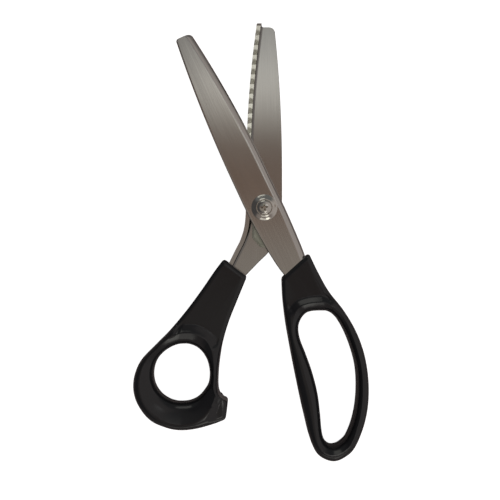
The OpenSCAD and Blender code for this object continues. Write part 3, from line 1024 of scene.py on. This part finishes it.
cup_washer = cup()
dress(cup_washer, "lower", "cup_washer", nickel)
WASHER_IN, WASHER_OUT, WASHER_THICK = 2.65, 5.3, 0.6
flat = turned("flat_washer", rounded([
    (WASHER_IN, lower_face - WASHER_THICK), (WASHER_OUT, lower_face - WASHER_THICK),
    (WASHER_OUT, lower_face), (WASHER_IN, lower_face)], 0.14))
dress(finish(flat), "lower", "plain_washer", nickel)

# %% [markdown]
# The spring washer is a bar wound almost once round, with its cut ends standing a little apart, and the
# screw's thread is a ridge wound many times round. Both follow a helix, so one Geometry Nodes tree
# winds a bar along a spiral, with named inputs for its radius, rise, turns and thickness.

# %% Wind the spring washer and the thread
def helix_tree():
    graph, given = new_tree("wound_bar", [
        ("Radius", "Float"), ("Rise", "Float"), ("Turns", "Float"), ("Width", "Float"),
        ("Thickness", "Float"), ("Start height", "Float"), ("Steps a turn", "Int"),
        ("Metal", "Material")])
    spiral = graph.add("GeometryNodeCurveSpiral", None, {
        "Resolution": given.out("Steps a turn"), "Rotations": given.out("Turns"),
        "Start Radius": given.out("Radius"), "End Radius": given.out("Radius"),
        "Height": given.out("Rise")})
    upright = graph.add("GeometryNodeSetCurveNormal", {"mode": "Z_UP"}, {"Curve": spiral})
    section = graph.add("GeometryNodeCurvePrimitiveQuadrilateral", {"mode": "RECTANGLE"}, {
        "Width": given.out("Width"), "Height": given.out("Thickness")})
    wound = graph.add("GeometryNodeCurveToMesh", None,
                      {"Curve": upright, "Profile Curve": section, "Fill Caps": True})
    raised = graph.add("GeometryNodeTransform", None, {
        "Geometry": wound,
        "Translation": graph.add("ShaderNodeCombineXYZ", None, {"Z": given.out("Start height")})})
    return close_tree(graph, raised, given.out("Metal"))


wound_bar = helix_tree()
NUT_HEIGHT = 2.5


def wind(name, radius, rise, turns, width, thickness, start, steps, metal):
    mesh = bpy.data.meshes.new(name)
    piece = bpy.data.objects.new(name, mesh)
    bpy.context.scene.collection.objects.link(piece)
    return finish(run_tree(piece, wound_bar, {
        "Radius": radius * MM, "Rise": rise * MM, "Turns": turns, "Width": width * MM,
        "Thickness": thickness * MM, "Start height": start * MM, "Steps a turn": steps,
        "Metal": metal}))


split = wind("split_washer", radius=3.55, rise=0.14, turns=0.955, width=1.85, thickness=0.72,
             start=NUT_HEIGHT + 0.38, steps=72, metal=spring_steel)
dress(split, "lower", "spring_washer")
thread = wind("screw_thread", radius=2.24, rise=6.9, turns=8.6, width=0.46, thickness=0.34,
              start=0.3, steps=40, metal=nickel)
dress(thread, "lower", None)

# %% [markdown]
# ## The nut
# A nut is turned from hexagon bar: the turning eases its corners, and the bar gives its six sides. It is
# made the same way here, as what a turned body and a six-sided prism have in common.

# %% Make the nut
ACROSS_FLATS = 8.0


def nut():
    height = NUT_HEIGHT
    corner = ACROSS_FLATS / math.cos(math.pi / 6) / 2
    body = turned("hex_nut", rounded([
        (2.52, 0.12), (2.75, 0), (corner - 0.45, 0), (corner + 0.1, 0.4),
        (corner + 0.1, height - 0.1), (corner - 0.1, height), (2.52, height)],
        [0.02, 0.05, 0.1, 0.05, 0.05, 0.05, 0.02], 3), 96)
    corners = [(corner * math.cos(k * math.pi / 3), corner * math.sin(k * math.pi / 3))
               for k in range(6)]
    sides = rounded(corners, 0.25, 3)
    prism = skin("prism", [[(x, y, z) for x, y in sides] for z in (-1, height + 1)])
    return finish(cut(body, prism, "INTERSECT"), 24)


pivot_nut = nut()
dress(pivot_nut, "lower", "pivot_nut", nickel)

# %% [markdown]
# ## Floor
# A plain pale floor lies in the plane that the shears rest on. There are two sheets, because a white
# table would flood the polished parts: one is seen by the camera only, and a duller one just below it
# is seen only in reflections and bounced light.

# %% Lay the floor
FLOOR_GLOW = 0.97


def sheet_of_floor(name, drop, low, high, glow):
    mesh = bpy.data.meshes.new(name)
    mesh.from_pydata([(x * 3, y * 3, 0) for x, y in ((-1, -1), (1, -1), (1, 1), (-1, 1))], [],
                     [(0, 1, 2, 3)])
    piece = bpy.data.objects.new(name, mesh)
    piece.location.z = -drop
    bpy.context.scene.collection.objects.link(piece)
    pale, graph, shader = principled(name)
    mottle = noise(graph, placed(graph), 8, 3)
    feed(graph, shader, Base_Color=graph.blend(mottle, low, high), Roughness=0.8,
         Specular_IOR_Level=0.1, Emission_Color=(1, 1, 1, 1), Emission_Strength=glow)
    piece.data.materials.append(pale)
    return piece


shown = sheet_of_floor("floor", 0.00005, (0.80, 0.80, 0.80, 1), (0.84, 0.84, 0.84, 1),
                       FLOOR_GLOW)
shown.visible_glossy = shown.visible_diffuse = False
mirrored = sheet_of_floor("floor_in_reflections", 0.0001, (0.66, 0.60, 0.60, 1),
                          (0.70, 0.64, 0.64, 1), 0.0)
mirrored.visible_camera = False
print("the floor lies at the resting plane")

# %% [markdown]
# ## Light
# Flat polished steel shows whatever is straight across from it, so a blade looks as the ceiling does.
# The world is therefore a soft room that is drawn from above. A ramp runs over the ceiling along the
# blades: warm grey over the handles, dark brown just past the pivot, a pale stretch over the tips, and
# dark again beyond. One side of the ceiling is paler, and the four walls differ a little. Five soft
# lamps, named as windows and lamps, light the ground teeth, the bend of the blades and the washer.

# %% Light the room
CEILING = [
    (0.00, (0.24, 0.22, 0.21)), (0.38, (0.30, 0.265, 0.235)), (0.50, (0.30, 0.272, 0.245)),
    (0.53, (0.26, 0.21, 0.18)), (0.56, (0.20, 0.135, 0.105)), (0.62, (0.145, 0.10, 0.078)),
    (0.642, (0.26, 0.235, 0.21)), (0.664, (0.66, 0.64, 0.60)), (0.685, (0.90, 0.885, 0.83)),
    (0.705, (0.72, 0.71, 0.68)), (0.75, (0.50, 0.50, 0.485)), (0.80, (0.27, 0.27, 0.27)),
    (1.00, (0.15, 0.16, 0.17))]
PALE_SIDE = (0.42, 0.385, 0.37, 1)
DARK_SIDE = (0.07, 0.068, 0.07, 1)
FAR_WALL = (0.15, 0.155, 0.155, 1)
NEAR_WALL = (0.24, 0.21, 0.20, 1)
DIM_CORNER = (0.17, 0.165, 0.16, 1)


def lamp(name, size, glow, toward, distance, colour=(1, 1, 1)):
    """A soft rectangular light of an even glow, set off in a direction and facing the pivot."""
    light = bpy.data.lights.new(name, "AREA")
    light.shape, light.size, light.size_y = "RECTANGLE", size[0], size[1]
    light.energy, light.color = glow * math.pi * size[0] * size[1], colour
    holder = bpy.data.objects.new(name, light)
    way = Vector(toward).normalized()
    holder.location = way * distance
    holder.rotation_euler = way.to_track_quat("Z", "Y").to_euler()
    bpy.context.scene.collection.objects.link(holder)
    print(f"{name}: {light.energy:.2f} W from {[round(c, 2) for c in holder.location]}")


def room():
    world = bpy.data.worlds.new("room")
    world.use_nodes = True
    bpy.context.scene.world = world
    world.node_tree.nodes.clear()
    graph = Graph(world.node_tree)
    way = graph.add("ShaderNodeTexCoord").out("Generated")
    parts = graph.add("ShaderNodeSeparateXYZ", None, {"Vector": way})
    up = parts.out("Z").maths("MAXIMUM", parts.out("Z"), 0.05)
    ahead, aside = parts.out("Y") / up, parts.out("X") / up
    overhead = graph.add("ShaderNodeValToRGB", {"stops": CEILING}, {"Fac": ahead + 0.5})
    over_blades = aside.between(-0.13, -0.03) * (1 - aside.between(0.09, 0.13))
    near_half = 1 - ahead.between(0.10, 0.15)
    ramp_shows = near_half.maths("MAXIMUM", near_half, over_blades)
    overhead = graph.blend(ramp_shows, DIM_CORNER, overhead)
    overhead = graph.blend(aside.between(0.09, 0.16), overhead, PALE_SIDE)
    walls = graph.blend(parts.out("X").between(-0.35, 0.35), DARK_SIDE, PALE_SIDE)
    walls = graph.blend(parts.out("Y").between(0.5, 0.8), walls, FAR_WALL)
    walls = graph.blend((0 - parts.out("Y")).between(0.5, 0.75), walls, NEAR_WALL)
    lean = (ahead * ahead + aside * aside) ** 0.5
    whole = graph.blend(lean.between(0.35, 0.7), overhead, walls)
    graph.add("ShaderNodeOutputWorld", None, {
        "Surface": graph.add("ShaderNodeBackground", None, {"Color": whole, "Strength": 1.0})})


room()
lamp("far_window", (0.80, 0.50), 0.85, (-0.25, 1.0, 0.60), 1.5, (1.0, 0.99, 0.91))
lamp("side_window", (0.21, 0.14), 0.5, (0.25, 0.24, 1.0), 1.5, (0.90, 0.98, 1.0))
lamp("near_window", (1.3, 0.42), 0.68, (0.10, -1.0, 0.62), 1.5, (1.0, 1.0, 0.93))
lamp("desk_lamp", (0.36, 0.30), 1.0, (0.32, -1.0, 0.50), 1.4, (1.0, 1.0, 0.92))
lamp("near_lamp", (0.26, 0.18), 2.0, (0.13, -0.46, 1.0), 1.4, (1.0, 0.98, 0.92))
